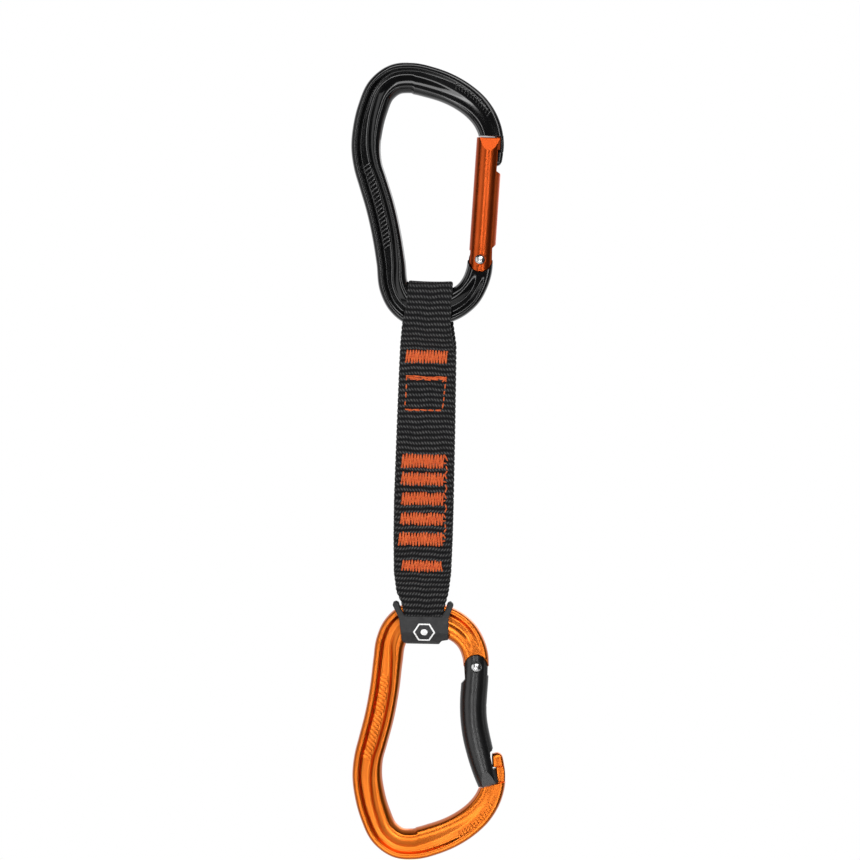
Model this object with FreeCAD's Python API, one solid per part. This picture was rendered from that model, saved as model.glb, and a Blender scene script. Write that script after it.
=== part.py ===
"""Climbing quickdraw: two keylock carabiners joined by a sewn webbing sling.

Millimetres, +Z up, hanging as in use: the bolt carabiner on top, the rope carabiner below.
The origin is the bolt seat, the inner apex of the top carabiner's crook. The carabiners lie
in the XZ plane with their gates towards +X; Y is the draw's thickness.

Each carabiner is built in its own local frame, which for the bolt carabiner is the part's
frame: seat at the origin, crook on top, spine at -X, gate at +X.
"""
import FreeCAD, Part
import math
import os

from FreeCAD import Placement, Rotation, Vector

os.makedirs("parts", exist_ok=True)

# ---------------------------------------------------------------- driving dimensions
# Forged frame: bar centre line x, z, then in-plane width, thickness in Y, and relief depth,
# from the hinge end round the basket, up the spine and over the crook to the nose.
FRAME_STATIONS = [
    (28.1, -53.6, 8.6, 7.6, 0.0),
    (28.2, -58.5, 9.4, 7.9, 0.0),
    (28.0, -63.0, 9.7, 8.2, 0.0),
    (26.6, -67.8, 10.0, 8.3, 0.5),
    (24.3, -71.4, 10.6, 8.3, 1.1),
    (20.9, -74.3, 11.2, 8.2, 1.2),
    (15.4, -77.0, 11.4, 8.2, 1.2),
    (9.0, -78.6, 11.3, 8.2, 1.2),
    (3.6, -77.6, 11.3, 8.2, 1.2),
    (-0.6, -74.2, 11.2, 8.1, 1.2),
    (-3.0, -69.6, 11.1, 8.0, 1.3),
    (-4.4, -63.0, 11.0, 7.8, 1.4),
    (-6.2, -53.0, 11.0, 7.6, 1.5),
    (-8.9, -42.0, 11.0, 7.6, 1.5),
    (-11.7, -33.4, 10.9, 7.8, 1.5),
    (-13.7, -27.2, 10.8, 8.0, 1.5),
    (-14.6, -20.6, 11.1, 8.4, 1.5),
    (-14.1, -13.6, 11.3, 8.8, 1.5),
    (-12.4, -6.0, 11.4, 9.2, 1.5),
    (-9.2, 1.1, 11.6, 9.6, 1.4),
    (-4.3, 4.9, 11.7, 9.8, 1.3),
    (1.8, 5.65, 11.7, 9.8, 1.2),
    (8.6, 4.4, 11.7, 9.6, 1.0),
    (15.4, 2.2, 11.3, 9.3, 0.6),
    (21.3, -0.9, 10.8, 9.0, 0.0),
    (26.0, -4.6, 10.3, 8.9, 0.0),
    (29.4, -8.9, 9.7, 8.8, 0.0),
    (31.4, -13.4, 9.3, 8.7, 0.0),
    (32.2, -18.0, 9.1, 8.6, 0.0),
    (32.0, -22.0, 9.0, 8.5, 0.0),
    (31.2, -27.2, 8.8, 8.4, 0.0),
]
BASKET_FROM_Z = -65.0        # stations below this, and the whole hinge leg, take the basket drop
HINGE_LEG_FROM_X = 15.0
HINGE_LEG_BELOW_Z = -50.0
HINGE_SHIFT_ENDS = (-66.0, -60.0)   # the hinge leg's sideways shift grows between these heights
OUTER_BULGE = 1.3            # how far the outer edge of the section is rounded out
OUTER_RIB = 1.0              # flat on top of the outer rib
INNER_BULGE = 2.3            # the rope side is rounder
INNER_RIB = 1.2
RELIEF_SLOPE = 0.9           # run of each wall of the relief channel

TANG_HALF = 1.5              # half thickness of the tang between the gate's ears
TANG_RADIUS = 4.2
TANG_FLAT = 3.2              # pin centre to the flat that works the plunger
FLAT_REACH = (8.0, 6.0)      # half length and height of what is cut away above the flat
FLAT_LEAN = 5.0              # degrees, flat's normal against the plunger axis
POCKET_RADIUS = 4.95         # relief in the frame round the gate's ears
HINGE_ZONE = (15.0, 40.0, -90.0, -40.0)   # low x, high x, low z, high z round the hinge
ABOVE_PIN = 12.0             # the bar's hinge end is cleared this far above the pin

FRAME_SPACE = (-40.0, 60.0, -115.0, 40.0)    # low x, high x, low z, high z round a whole carabiner
NOSE_ZONE_X = (24.0, 45.0)
NOSE_ZONE_END = -40.0
SHOULDER_X = (26.0, 33.9)    # where the shoulder line's inner and outer heights are measured
NECK_TOP_LAP = 3.0           # the neck reaches this far into the bar

NECK_HALF = 1.6              # keylock nose: thin neck, wider head
NECK_X = 33.2
HEAD_HALF = 3.0
HEAD_X = 32.0
HEAD_TOP = -21.2
HEAD_END = -26.2
HEAD_CORNER = 1.5            # corner taken off the tip of the head
HEAD_STEP = 0.9

GATE_RING_POINTS = 12
GATE_REACH = 9.0             # cutting shapes at the gate reach this far from the pin
FACET_REACH = 8.0            # the chamfering wedges at a gate's free end are this large
KEYLOCK_SIDE = 0.4           # room in the gate beside, above and inside the nose
NECK_ROOM = (0.7, 1.5)
HEAD_ROOM = (0.5, 0.9)
HEAD_SWING = [(36.0, 3.4), (45.0, 5.0)]   # x, and room below the head for the gate's swing
EAR_RADIUS = 4.4
EAR_HALF = 4.0               # half the distance over the spot faces that the rivet heads sit on
SPOT_FACE_RADIUS = 2.15
EAR_SIDE_TOP = 4.4           # the ears keep their width up to here, then a short slope meets the bar
EAR_SLOPE = 1.3
EAR_SLOT_HALF = 1.85
EAR_SLOT_DEPTH = 5.0         # slot floor above the pin
EAR_SLOT_SQUARE = 3.5        # the slot's square part ends here
RIVET_RADIUS = 1.55
RIVET_HOLE = 1.60            # running fit in the tang
RIVET_HEAD_RADIUS = 1.95
RIVET_HEAD = 0.75

BORE_RADIUS = 1.70           # spring bore up the middle of the gate
BORE_END = 20.5              # distances along the bore are from the pin
PLUNGER_RADIUS = 1.62
PLUNGER_TIP = 3.37
TIP_RADIUS = 1.2
TIP_NECK = 1.0
PLUNGER_COLLAR_END = 8.5
PLUNGER_STEM_RADIUS = 0.65
PLUNGER_STEM_END = 13.5
SPRING_MEAN_RADIUS = 1.32
SPRING_WIRE_RADIUS = 0.21
SPRING_TURNS = 12
SPRING_SEAT_GAP = 0.05

# Webbing sling
STRAP_HALF = 2.4             # two layers of tape, half the total thickness
TAPE = 1.75                  # one layer of tape round a carabiner
LOOP_INNER_HALF = 4.75       # half the gap that the carabiner bar passes through
BOLT_LOOP = (-69.9, -94.9)   # z of the loop's extreme, and of the point where its sides meet
ROPE_LOOP = (-202.4, -178.3)
LOOP_BAR_GAP = 0.25          # the tape is pressed clear of the bar's corners
LOOP_X = (-10.0, 30.0)       # loops are made this wide, then cut to the strap's outline
LOOP_SHOULDER = (0.62, 4.6)  # share of the half width, and height over the point where the sides meet
LOOP_FULL = 11.0
LOOP_INSIDE_RISE = (1.6, 1.2)    # the inside starts higher, by these multiples of the tape's thickness
LOOP_CROWN = (0.72, 0.30)    # share of the half width, and share of it below the extreme
STRAP_OUTLINE = [
    (2.2, -69.0), (18.4, -69.0), (18.6, -84.5), (20.0, -86.5), (20.4, -98.0), (20.6, -150.0),
    (20.2, -178.0), (18.6, -190.0), (17.0, -195.0), (16.6, -206.0), (4.4, -206.0), (4.0, -195.0),
    (1.6, -190.0), (-1.0, -178.0), (-1.5, -150.0), (-0.9, -98.0), (-0.5, -90.0), (0.0, -86.5), (1.8, -84.5),
]

THREAD = 0.45                # how far stitching stands proud of the tape
TACK_HEIGHT = 4.6
TACK_STROKES = 13
TACK_BAND = 1.7              # height of the zigzag band, about 0.6 across each stroke
EDGE_STROKES = 20
EDGE_BAND = 0.7
TACK_SPANS = [               # centre z, left x, right x
    (-97.7, 1.8, 17.1),
    (-136.4, 1.1, 16.7),
    (-143.1, 1.1, 16.7),
    (-150.5, 1.1, 16.7),
    (-157.9, 1.1, 16.7),
    (-165.4, 1.1, 16.7),
    (-175.4, 2.0, 16.8),
]
BOX_STITCH = (1.8, 16.8, -117.8, -105.6)
BOX_LINE = 0.8
EDGE_RUN = (17.0, 18.6, -167.0, -134.0)
LABEL_THICKNESS = 0.4
LABEL_MARGIN = 0.8

# Rubber keeper round the rope end loop, with two arms over the bar
KEEPER_FRONT = [             # outline seen from the front
    (-1.0, -189.1), (0.0, -188.6), (1.0, -189.0), (3.5, -193.8), (17.1, -193.8), (19.4, -188.8),
    (20.4, -188.4), (21.5, -189.4), (19.7, -194.4), (19.7, -202.5), (17.2, -202.9), (16.4, -204.3),
    (3.3, -204.3), (2.4, -202.7), (1.8, -198.5), (1.3, -194.8), (-1.2, -190.0),
]
KEEPER_SHOULDER_Z = -194.0   # above this height the arms close in over the bar
KEEPER_ARM_Z = -188.0
KEEPER_ARM_HALF = 5.2
KEEPER_BOTTOM = -204.3
KEEPER_CORNER = 4.4
KEEPER_FLAT_HALF = 2.2
KEEPER_WALL = 1.5
KEEPER_GAP = 0.15
KEEPER_BAR_GAP = 0.3
STRAP_ROOM = [               # the strap's outline in the keeper, with room beside it
    (1.0, -187.5), (1.3, -190.0), (3.7, -195.0), (4.1, -207.0), (16.9, -207.0), (17.3, -195.0), (18.9, -190.0),
    (19.2, -187.5),
]

# The two carabiners: basket drop, sideways shift of the hinge leg, gate hinge, bore lean and
# heights of the nose shoulder, inner and outer.
BOLT_DROP, BOLT_SHIFT = 2.7, 0.5
BOLT_PIN = (28.6, -61.2)
BOLT_LEAN = 2.7
BOLT_SHOULDER = (-15.35, -15.35)
BOLT_GATE_STATIONS = [       # x, z, in-plane width, thickness
    (31.5, -12.0, 9.7, 9.2),
    (28.95, -66.5, 9.7, 9.2),
]
BOLT_GATE_END = ((24.0, -15.8), (37.0, -15.8))
BOLT_GATE_CUT = [(35.3, -14.0), (35.1, -20.8), (34.2, -23.0), (34.3, -26.8), (35.6, -29.4), (38.0, -30.5),
                 (38.0, -14.0)]
BOLT_FACET = (-15.8, -20.5, 9.0, 1.6)   # z of the end, z where the chamfer runs out, thickness there, depth

ROPE_DROP, ROPE_SHIFT = 0.0, 0.0
ROPE_PIN = (28.1, -58.5)
ROPE_GATE_LEAN = -6.3
ROPE_SHOULDER = (-13.4, -14.9)
ROPE_GATE_STATIONS = [
    (31.4, -10.5, 8.0, 8.8),
    (30.2, -15.5, 8.4, 9.0),
    (28.9, -21.0, 9.4, 9.2),
    (27.7, -27.0, 10.0, 9.2),
    (26.6, -33.5, 10.1, 9.2),
    (26.1, -40.0, 9.9, 9.2),
    (26.5, -47.0, 10.0, 9.2),
    (27.3, -53.0, 10.0, 9.2),
    (27.9, -58.5, 9.9, 9.2),
    (28.1, -64.0, 9.8, 9.2),
]
ROPE_GATE_END = ((24.0, -13.3), (37.0, -15.9))
ROPE_GATE_CUT = [(35.3, -13.0), (34.4, -18.0), (33.1, -20.9), (32.2, -21.3), (32.0, -25.6), (32.4, -27.8),
                 (38.0, -27.8), (38.0, -13.0)]
ROPE_FACET = (-14.4, -19.2, 9.0, 1.0)
ROPE_SEAT = Vector(6.87, 0, -273.0)
ROPE_LEAN = 4.52             # lean of the rope carabiner's long axis, degrees

CUT = 12.0                   # half thickness of cutting shapes, beyond every piece


# ---------------------------------------------------------------- helpers
def prism_y(points, half):
    """Closed XZ outline, extruded to y = -half .. +half."""
    wire = Part.makePolygon([Vector(x, -half, z) for x, z in points + points[:1]])
    return Part.Face(wire).extrude(Vector(0, 2 * half, 0))


def prism_x(points, x_low, x_high):
    """Closed YZ outline, extruded from x_low to x_high."""
    wire = Part.makePolygon([Vector(x_low, y, z) for y, z in points + points[:1]])
    return Part.Face(wire).extrude(Vector(x_high - x_low, 0, 0))


def box_xz(x_low, x_high, z_low, z_high, half):
    return Part.makeBox(x_high - x_low, 2 * half, z_high - z_low, Vector(x_low, -half, z_low))


def cylinder_y(x, z, radius, half):
    return Part.makeCylinder(radius, 2 * half, Vector(x, -half, z), Vector(0, 1, 0))


def fuse(shapes):
    return shapes[0].fuse(shapes[1:]).removeSplitter()


def save(shape, name):
    solids = shape.Solids
    kept = solids[0] if len(solids) == 1 else Part.makeCompound(solids)
    kept.exportStep("parts/" + name + ".step")
    print(name, len(solids), "solid(s)", round(kept.Volume, 1), "mm3")


# ---------------------------------------------------------------- forged frame
def moved_stations(drop, shift):
    """The frame's stations with the basket lowered and the hinge end of its leg shifted outward."""
    moved = []
    low, high = HINGE_SHIFT_ENDS
    for x, z, width, depth, relief in FRAME_STATIONS:
        in_leg = x > HINGE_LEG_FROM_X and z < HINGE_LEG_BELOW_Z
        share = min(1.0, max(0.0, (z - low) / (high - low))) if in_leg else 0.0
        lowered = drop if in_leg or z < BASKET_FROM_Z else 0.0
        moved.append((x + shift * share, z - lowered, width, depth, relief))
    return moved


def bar_section(station, along, grow):
    """Cross-section wire of the bar: rounded edges, with a relief channel on both faces."""
    x, z, width, depth, relief = station
    inward = Vector(along.z, 0, -along.x)
    across = Vector(0, 1, 0)
    centre = Vector(x, 0, z)
    w = width / 2 + grow
    h = depth / 2 + grow
    relief = relief if grow == 0 else 0
    flat = h - relief

    def at(n, y):
        return centre + inward * n + across * y

    rib_out = -w + OUTER_BULGE + OUTER_RIB
    rib_in = w - INNER_BULGE - INNER_RIB
    upper = [
        (-w + OUTER_BULGE, h),
        (rib_out, h),
        (rib_out + RELIEF_SLOPE, flat),
        (rib_in - RELIEF_SLOPE, flat),
        (rib_in, h),
        (w - INNER_BULGE, h),
    ]
    lower = [(n, -y) for n, y in reversed(upper)]
    edges = [Part.makeLine(at(*a), at(*b)) for a, b in zip(upper, upper[1:])]
    edges.append(Part.Arc(at(*upper[-1]), at(w, 0), at(*lower[0])).toShape())
    edges += [Part.makeLine(at(*a), at(*b)) for a, b in zip(lower, lower[1:])]
    edges.append(Part.Arc(at(*lower[-1]), at(-w, 0), at(*upper[0])).toShape())
    return Part.Wire(edges)


def bar(stations, grow=0.0):
    """The whole forged bar, hinge end to nose, lofted through its sections."""
    wires = []
    for i, station in enumerate(stations):
        before = stations[max(i - 1, 0)]
        after = stations[min(i + 1, len(stations) - 1)]
        along = Vector(after[0] - before[0], 0, after[1] - before[1]).normalize()
        wires.append(bar_section(station, along, grow))
    return Part.makeLoft(wires, True, False)


def nose_keep(shoulder):
    """All of the bar but its nose end, and of that end a thin neck and a wider head."""
    inner, outer = shoulder
    low_x, high_x = NOSE_ZONE_X
    whole = box_xz(*FRAME_SPACE, CUT)
    gap = prism_y([(low_x, inner), (SHOULDER_X[0], inner), (SHOULDER_X[1], outer), (high_x, outer),
                   (high_x, NOSE_ZONE_END), (low_x, NOSE_ZONE_END)], CUT)
    neck = box_xz(NECK_X, high_x, HEAD_TOP - HEAD_STEP, inner + NECK_TOP_LAP, NECK_HALF)
    head = prism_y([(HEAD_X + HEAD_STEP, HEAD_TOP), (high_x, HEAD_TOP), (high_x, HEAD_END),
                    (HEAD_X + HEAD_CORNER, HEAD_END), (HEAD_X, HEAD_END + HEAD_CORNER),
                    (HEAD_X, HEAD_TOP - HEAD_STEP)], HEAD_HALF)
    return fuse([whole.cut(gap), neck, head])


def frame(drop, shift, shoulder, pin, lean):
    """One carabiner frame with its keylock nose and hinge tang."""
    pin_x, pin_z = pin
    low_x, high_x, low_z, high_z = HINGE_ZONE
    body = bar(moved_stations(drop, shift)).common(nose_keep(shoulder))

    above_pin = box_xz(low_x, high_x, pin_z, pin_z + ABOVE_PIN, CUT)
    ears_room = fuse([cylinder_y(pin_x, pin_z, POCKET_RADIUS, CUT), above_pin])
    body = body.cut(ears_room.cut(box_xz(low_x, high_x, low_z, high_z, TANG_HALF)))
    body = body.cut(above_pin.cut(cylinder_y(pin_x, pin_z, TANG_RADIUS, CUT)))

    normal = bore_axis(lean + FLAT_LEAN)
    side = Vector(normal.z, 0, -normal.x) * FLAT_REACH[0]
    start = Vector(pin_x, 0, pin_z) + normal * TANG_FLAT
    rise = normal * FLAT_REACH[1]
    corners = [start - side, start + side, start + side + rise, start - side + rise]
    body = body.cut(prism_y([(c.x, c.z) for c in corners], CUT))
    return body.cut(cylinder_y(pin_x, pin_z, RIVET_HOLE, CUT))


# ---------------------------------------------------------------- gates
def gate_blank(stations):
    """Round gate bar through x, z, in-plane width and thickness."""
    wires = []
    turns = [2 * math.pi * k / GATE_RING_POINTS for k in range(GATE_RING_POINTS)]
    for i, (x, z, width, depth) in enumerate(stations):
        before = stations[max(i - 1, 0)]
        after = stations[min(i + 1, len(stations) - 1)]
        along = Vector(after[0] - before[0], 0, after[1] - before[1]).normalize()
        inward = Vector(along.z, 0, -along.x)
        points = []
        for turn in turns:
            points.append(Vector(x, depth / 2 * math.sin(turn), z) + inward * (width / 2 * math.cos(turn)))
        ring = Part.BSplineCurve()
        ring.interpolate(Points=points, PeriodicFlag=True)
        wires.append(Part.Wire(ring.toShape()))
    return Part.makeLoft(wires, True, False)


def end_facets(end_z, tip_z, thickness, depth, middle_x):
    """Wedges that chamfer the free end of a gate on both faces."""
    half = thickness / 2
    wedges = []
    for side in (-1, 1):
        near = side * (half - depth)
        far = side * (half + depth)
        outline = [(side * half, tip_z), (near, end_z), (near, end_z + FACET_REACH), (far, end_z + FACET_REACH),
                   (far, tip_z)]
        wedges.append(prism_x(outline, middle_x - FACET_REACH, middle_x + FACET_REACH))
    return wedges


def keylock_room():
    """Slot in the free end of a gate for the nose's neck, and the wider pocket for its head."""
    reach = NOSE_ZONE_X[1]
    neck = box_xz(NECK_X - NECK_ROOM[0], reach, HEAD_TOP - NECK_ROOM[1], 0, NECK_HALF + KEYLOCK_SIDE)
    inner = HEAD_X - HEAD_ROOM[0]
    top = HEAD_TOP + HEAD_ROOM[1]
    swing = [(x, HEAD_END - room) for x, room in reversed(HEAD_SWING)]
    head = prism_y([(inner, top), (reach, top)] + swing + [(inner, HEAD_END - HEAD_ROOM[0])],
                   HEAD_HALF + KEYLOCK_SIDE)
    return fuse([neck, head])


def ear_sides(pin):
    """What is cut off beside the ears, with a short slope where they meet the bar."""
    pin_x, pin_z = pin
    sides = []
    for side in (-1, 1):
        near = pin_x + side * EAR_RADIUS
        step = near + side * EAR_SLOPE
        far = pin_x + side * GATE_REACH
        top = pin_z + EAR_SIDE_TOP + EAR_SLOPE
        sides.append(prism_y([(near, pin_z - GATE_REACH), (near, pin_z + EAR_SIDE_TOP), (step, top), (far, top),
                              (far, pin_z - GATE_REACH)], CUT))
    return sides


def gate(stations, end_line, outer_cut, facet, pin, lean):
    """A gate: round bar, keylock slot at the free end, forked ears and spring bore at the hinge."""
    pin_x, pin_z = pin
    left, right = pin_x - GATE_REACH, pin_x + GATE_REACH
    bottom = pin_z - GATE_REACH
    body = gate_blank(stations)
    (left_x, left_z), (right_x, right_z) = end_line
    body = body.cut(prism_y([(left_x, left_z), (right_x, right_z), (right_x, 0), (left_x, 0)], CUT))
    body = body.cut(prism_y(outer_cut, CUT))
    for wedge in end_facets(*facet, (left_x + right_x) / 2):
        body = body.cut(wedge)
    body = body.cut(keylock_room())

    ear_disc = cylinder_y(pin_x, pin_z, EAR_RADIUS, CUT)
    body = body.cut(box_xz(left, right, bottom, pin_z, CUT).cut(ear_disc))
    for side in ear_sides(pin):
        body = body.cut(side)
    spot_faces = cylinder_y(pin_x, pin_z, SPOT_FACE_RADIUS, CUT)
    body = body.cut(spot_faces.cut(cylinder_y(pin_x, pin_z, SPOT_FACE_RADIUS, EAR_HALF)))
    slot = fuse([cylinder_y(pin_x, pin_z, EAR_SLOT_DEPTH, EAR_SLOT_HALF),
                 box_xz(left, right, bottom, pin_z + EAR_SLOT_SQUARE, EAR_SLOT_HALF)])
    body = body.cut(slot).cut(cylinder_y(pin_x, pin_z, RIVET_RADIUS, CUT))
    return body.cut(Part.makeCylinder(BORE_RADIUS, BORE_END, Vector(pin_x, 0, pin_z), bore_axis(lean)))


def bore_axis(lean):
    """Direction of a gate's length, lean degrees from upright."""
    return Vector(math.sin(math.radians(lean)), 0, math.cos(math.radians(lean)))


def rivet(pin):
    """Hinge rivet with a domed head on each ear."""
    pin_x, pin_z = pin
    shaft = cylinder_y(pin_x, pin_z, RIVET_RADIUS, EAR_HALF)
    sphere = (RIVET_HEAD_RADIUS ** 2 + RIVET_HEAD ** 2) / (2 * RIVET_HEAD)
    parts = [shaft]
    for side in (-1, 1):
        ball = Part.makeSphere(sphere, Vector(pin_x, side * (EAR_HALF + RIVET_HEAD - sphere), pin_z))
        slab = Part.makeCylinder(RIVET_HEAD_RADIUS, RIVET_HEAD, Vector(pin_x, side * EAR_HALF, pin_z),
                                 Vector(0, side, 0))
        parts.append(ball.common(slab))
    return fuse(parts)


def plunger(pin, lean):
    """Sliding pin in the gate: round tip on the tang's flat, collar, and a stem in the spring."""
    foot = Vector(pin[0], 0, pin[1])
    axis = bore_axis(lean)
    centre = PLUNGER_TIP + TIP_RADIUS
    ball = Part.makeSphere(TIP_RADIUS, foot + axis * centre)
    neck = Part.makeCylinder(TIP_RADIUS, TIP_NECK, foot + axis * centre, axis)
    collar_foot = centre + TIP_NECK
    collar = Part.makeCylinder(PLUNGER_RADIUS, PLUNGER_COLLAR_END - collar_foot, foot + axis * collar_foot, axis)
    stem = Part.makeCylinder(PLUNGER_STEM_RADIUS, PLUNGER_STEM_END - PLUNGER_COLLAR_END,
                             foot + axis * PLUNGER_COLLAR_END, axis)
    return fuse([ball, neck, collar, stem])


def spring(pin, lean):
    """Compression spring between the plunger's collar and the end of the bore."""
    low = PLUNGER_COLLAR_END + SPRING_WIRE_RADIUS + SPRING_SEAT_GAP
    high = BORE_END - SPRING_WIRE_RADIUS - SPRING_SEAT_GAP
    helix = Part.makeHelix((high - low) / SPRING_TURNS, high - low, SPRING_MEAN_RADIUS)
    section = Part.Wire(Part.makeCircle(SPRING_WIRE_RADIUS, Vector(SPRING_MEAN_RADIUS, 0, 0), Vector(0, 1, 0)))
    coil = Part.Wire(helix).makePipeShell([section], True, True)
    axis = bore_axis(lean)
    coil.Placement = Placement(Vector(pin[0], 0, pin[1]) + axis * low, Rotation(Vector(0, 0, 1), axis))
    return coil


# ---------------------------------------------------------------- sling
def loop_runs(loop, outer_half, offset):
    """Both sides of an end loop's outline, moved in by offset, from the strap round the bar.

    loop is the z of the loop's extreme, and of the point where its two sides meet."""
    end_z, meet_z = loop
    up = 1 if end_z > meet_z else -1
    half = outer_half - offset
    tip = end_z - up * offset
    foot_half = 0.0 if offset else STRAP_HALF
    foot_rise, shoulder_rise = LOOP_INSIDE_RISE
    side = [
        (foot_half, meet_z + up * offset * foot_rise),
        (half * LOOP_SHOULDER[0], meet_z + up * (LOOP_SHOULDER[1] + offset * shoulder_rise)),
        (half, meet_z + up * (LOOP_FULL + offset / 2)),
        (half, tip - up * half),
        (half * LOOP_CROWN[0], tip - up * half * LOOP_CROWN[1]),
        (0.0, tip),
    ]
    return [side, [(-y, z) for y, z in reversed(side)]]


def loop_solid(loop, outer_half, offset):
    """Closed solid of one end loop's side outline, moved in by offset."""
    edges = []
    low_x, high_x = LOOP_X
    runs = loop_runs(loop, outer_half, offset)
    for run in runs:
        curve = Part.BSplineCurve()
        curve.interpolate([Vector(low_x, y, z) for y, z in run])
        edges.append(curve.toShape())
    if not offset:
        edges.append(Part.makeLine(*[Vector(low_x, y, z) for y, z in (runs[1][-1], runs[0][0])]))
    return Part.Face(Part.Wire(edges)).extrude(Vector(high_x - low_x, 0, 0))


def webbing(bars):
    """The tape folded into a strap with a loop at each end."""
    outer_half = LOOP_INNER_HALF + TAPE
    body = fuse([box_xz(*LOOP_X, ROPE_LOOP[1], BOLT_LOOP[1], STRAP_HALF)]
                + [loop_solid(loop, outer_half, 0.0) for loop in (BOLT_LOOP, ROPE_LOOP)])
    for loop in (BOLT_LOOP, ROPE_LOOP):
        body = body.cut(loop_solid(loop, outer_half, TAPE))
    return body.common(prism_y(STRAP_OUTLINE, CUT)).cut(bars)


def zigzag(spans, strokes, band, upright):
    """Zigzag thread band as an XZ outline, filling spans (low x, high x, low z, high z)."""
    low_x, high_x, low_z, high_z = spans
    turns = []
    shift_x, shift_z = (band, 0) if upright else (0, band)
    width = high_x - low_x - shift_x
    height = high_z - low_z - shift_z
    for i in range(strokes + 1):
        along, side = i / strokes, i % 2
        share_x, share_z = (side, along) if upright else (along, side)
        turns.append((low_x + width * share_x, low_z + height * share_z))
    return turns + [(x + shift_x, z + shift_z) for x, z in reversed(turns)]


def on_faces(outline, front, back):
    """The same thin thread shape, from front forward and from back backward."""
    wire = Part.makePolygon([Vector(x, 0, z) for x, z in outline + outline[:1]])
    face = Part.Face(wire)
    ahead = face.translated(Vector(0, -front - THREAD, 0)).extrude(Vector(0, THREAD, 0))
    behind = face.translated(Vector(0, back, 0)).extrude(Vector(0, THREAD, 0))
    return Part.makeCompound([ahead, behind])


def box_outline(x0, x1, z0, z1):
    """Stitched rectangle as four bars that meet end to end."""
    low, high = z0 + BOX_LINE, z1 - BOX_LINE
    bars = [(x0, x1, high, z1), (x0, x1, z0, low), (x0, x0 + BOX_LINE, low, high), (x1 - BOX_LINE, x1, low, high)]
    return [[(a, c), (b, c), (b, d), (a, d)] for a, b, c, d in bars]


def label():
    """Small blank textile label on the back of the strap, held by the box stitch."""
    x0, x1, z0, z1 = BOX_STITCH
    return Part.makeBox(x1 - x0 + 2 * LABEL_MARGIN, LABEL_THICKNESS, z1 - z0 + 2 * LABEL_MARGIN,
                        Vector(x0 - LABEL_MARGIN, STRAP_HALF, z0 - LABEL_MARGIN))


def keeper(bar_room):
    """Rubber keeper: a cradle round the loop, with two arms that close over the bar."""
    half = LOOP_INNER_HALF + TAPE + KEEPER_GAP + KEEPER_WALL
    side = [(half, KEEPER_SHOULDER_Z), (half, KEEPER_BOTTOM + KEEPER_CORNER),
            (half * 0.72, KEEPER_BOTTOM + KEEPER_CORNER * 0.22), (KEEPER_FLAT_HALF, KEEPER_BOTTOM)]
    outside = [(KEEPER_ARM_HALF, KEEPER_ARM_Z)] + side
    outside += [(-y, z) for y, z in reversed(outside)]
    body = prism_x(outside, *LOOP_X).common(prism_y(KEEPER_FRONT, CUT))
    loop_room = loop_solid((ROPE_LOOP[0] - KEEPER_GAP, ROPE_LOOP[1]), half - KEEPER_WALL, 0.0)
    return body.cut(loop_room.common(prism_y(STRAP_ROOM, CUT))).cut(bar_room)


# ---------------------------------------------------------------- the two carabiners
def rope_place(shape):
    """Turn a carabiner over and lean it into place at the lower end of the sling."""
    half_lean = math.radians(ROPE_LEAN / 2)
    turn = Placement(ROPE_SEAT, Rotation(Vector(math.cos(half_lean), 0, math.sin(half_lean)), 180))
    placed = shape.copy()
    placed.Placement = turn.multiply(placed.Placement)
    return placed


def main():
    save(frame(BOLT_DROP, BOLT_SHIFT, BOLT_SHOULDER, BOLT_PIN, BOLT_LEAN), "bolt_frame")
    bolt_gate = gate(BOLT_GATE_STATIONS, BOLT_GATE_END, BOLT_GATE_CUT, BOLT_FACET, BOLT_PIN, BOLT_LEAN)
    save(bolt_gate, "bolt_gate")
    save(rivet(BOLT_PIN), "bolt_gate_rivet")
    save(plunger(BOLT_PIN, BOLT_LEAN), "bolt_gate_plunger")
    save(spring(BOLT_PIN, BOLT_LEAN), "bolt_gate_spring")

    rope_frame = frame(ROPE_DROP, ROPE_SHIFT, ROPE_SHOULDER, ROPE_PIN, ROPE_GATE_LEAN)
    rope_gate = gate(ROPE_GATE_STATIONS, ROPE_GATE_END, ROPE_GATE_CUT, ROPE_FACET, ROPE_PIN, ROPE_GATE_LEAN)
    save(rope_place(rope_frame), "rope_frame")
    save(rope_place(rope_gate), "rope_gate")
    save(rope_place(rivet(ROPE_PIN)), "rope_gate_rivet")
    save(rope_place(plunger(ROPE_PIN, ROPE_GATE_LEAN)), "rope_gate_plunger")
    save(rope_place(spring(ROPE_PIN, ROPE_GATE_LEAN)), "rope_gate_spring")

    bolt_stations = moved_stations(BOLT_DROP, BOLT_SHIFT)
    rope_stations = moved_stations(ROPE_DROP, ROPE_SHIFT)
    save(webbing([bar(bolt_stations, LOOP_BAR_GAP), rope_place(bar(rope_stations, LOOP_BAR_GAP))]), "sling_webbing")
    for number, (z, left, right) in enumerate(TACK_SPANS, 1):
        spans = (left, right, z - TACK_HEIGHT / 2, z + TACK_HEIGHT / 2)
        outline = zigzag(spans, TACK_STROKES, TACK_BAND, False)
        save(on_faces(outline, STRAP_HALF, STRAP_HALF), "bar_tack_%d" % number)
    stitched = [on_faces(outline, STRAP_HALF, STRAP_HALF + LABEL_THICKNESS) for outline in box_outline(*BOX_STITCH)]
    save(Part.makeCompound(stitched), "box_stitch")
    save(on_faces(zigzag(EDGE_RUN, EDGE_STROKES, EDGE_BAND, True), STRAP_HALF, STRAP_HALF), "edge_stitch")
    save(label(), "info_label")
    save(keeper(rope_place(bar(rope_stations, KEEPER_BAR_GAP))), "rope_keeper")


main()
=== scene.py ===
"""Climbing quickdraw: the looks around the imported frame.

Local frame of a carabiner, in millimetres: seat at the origin, crook on top (+z), spine at -x,
gate at +x, y through the thickness. The top carabiner's local frame is the row frame.
"""
import math
import random

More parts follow.
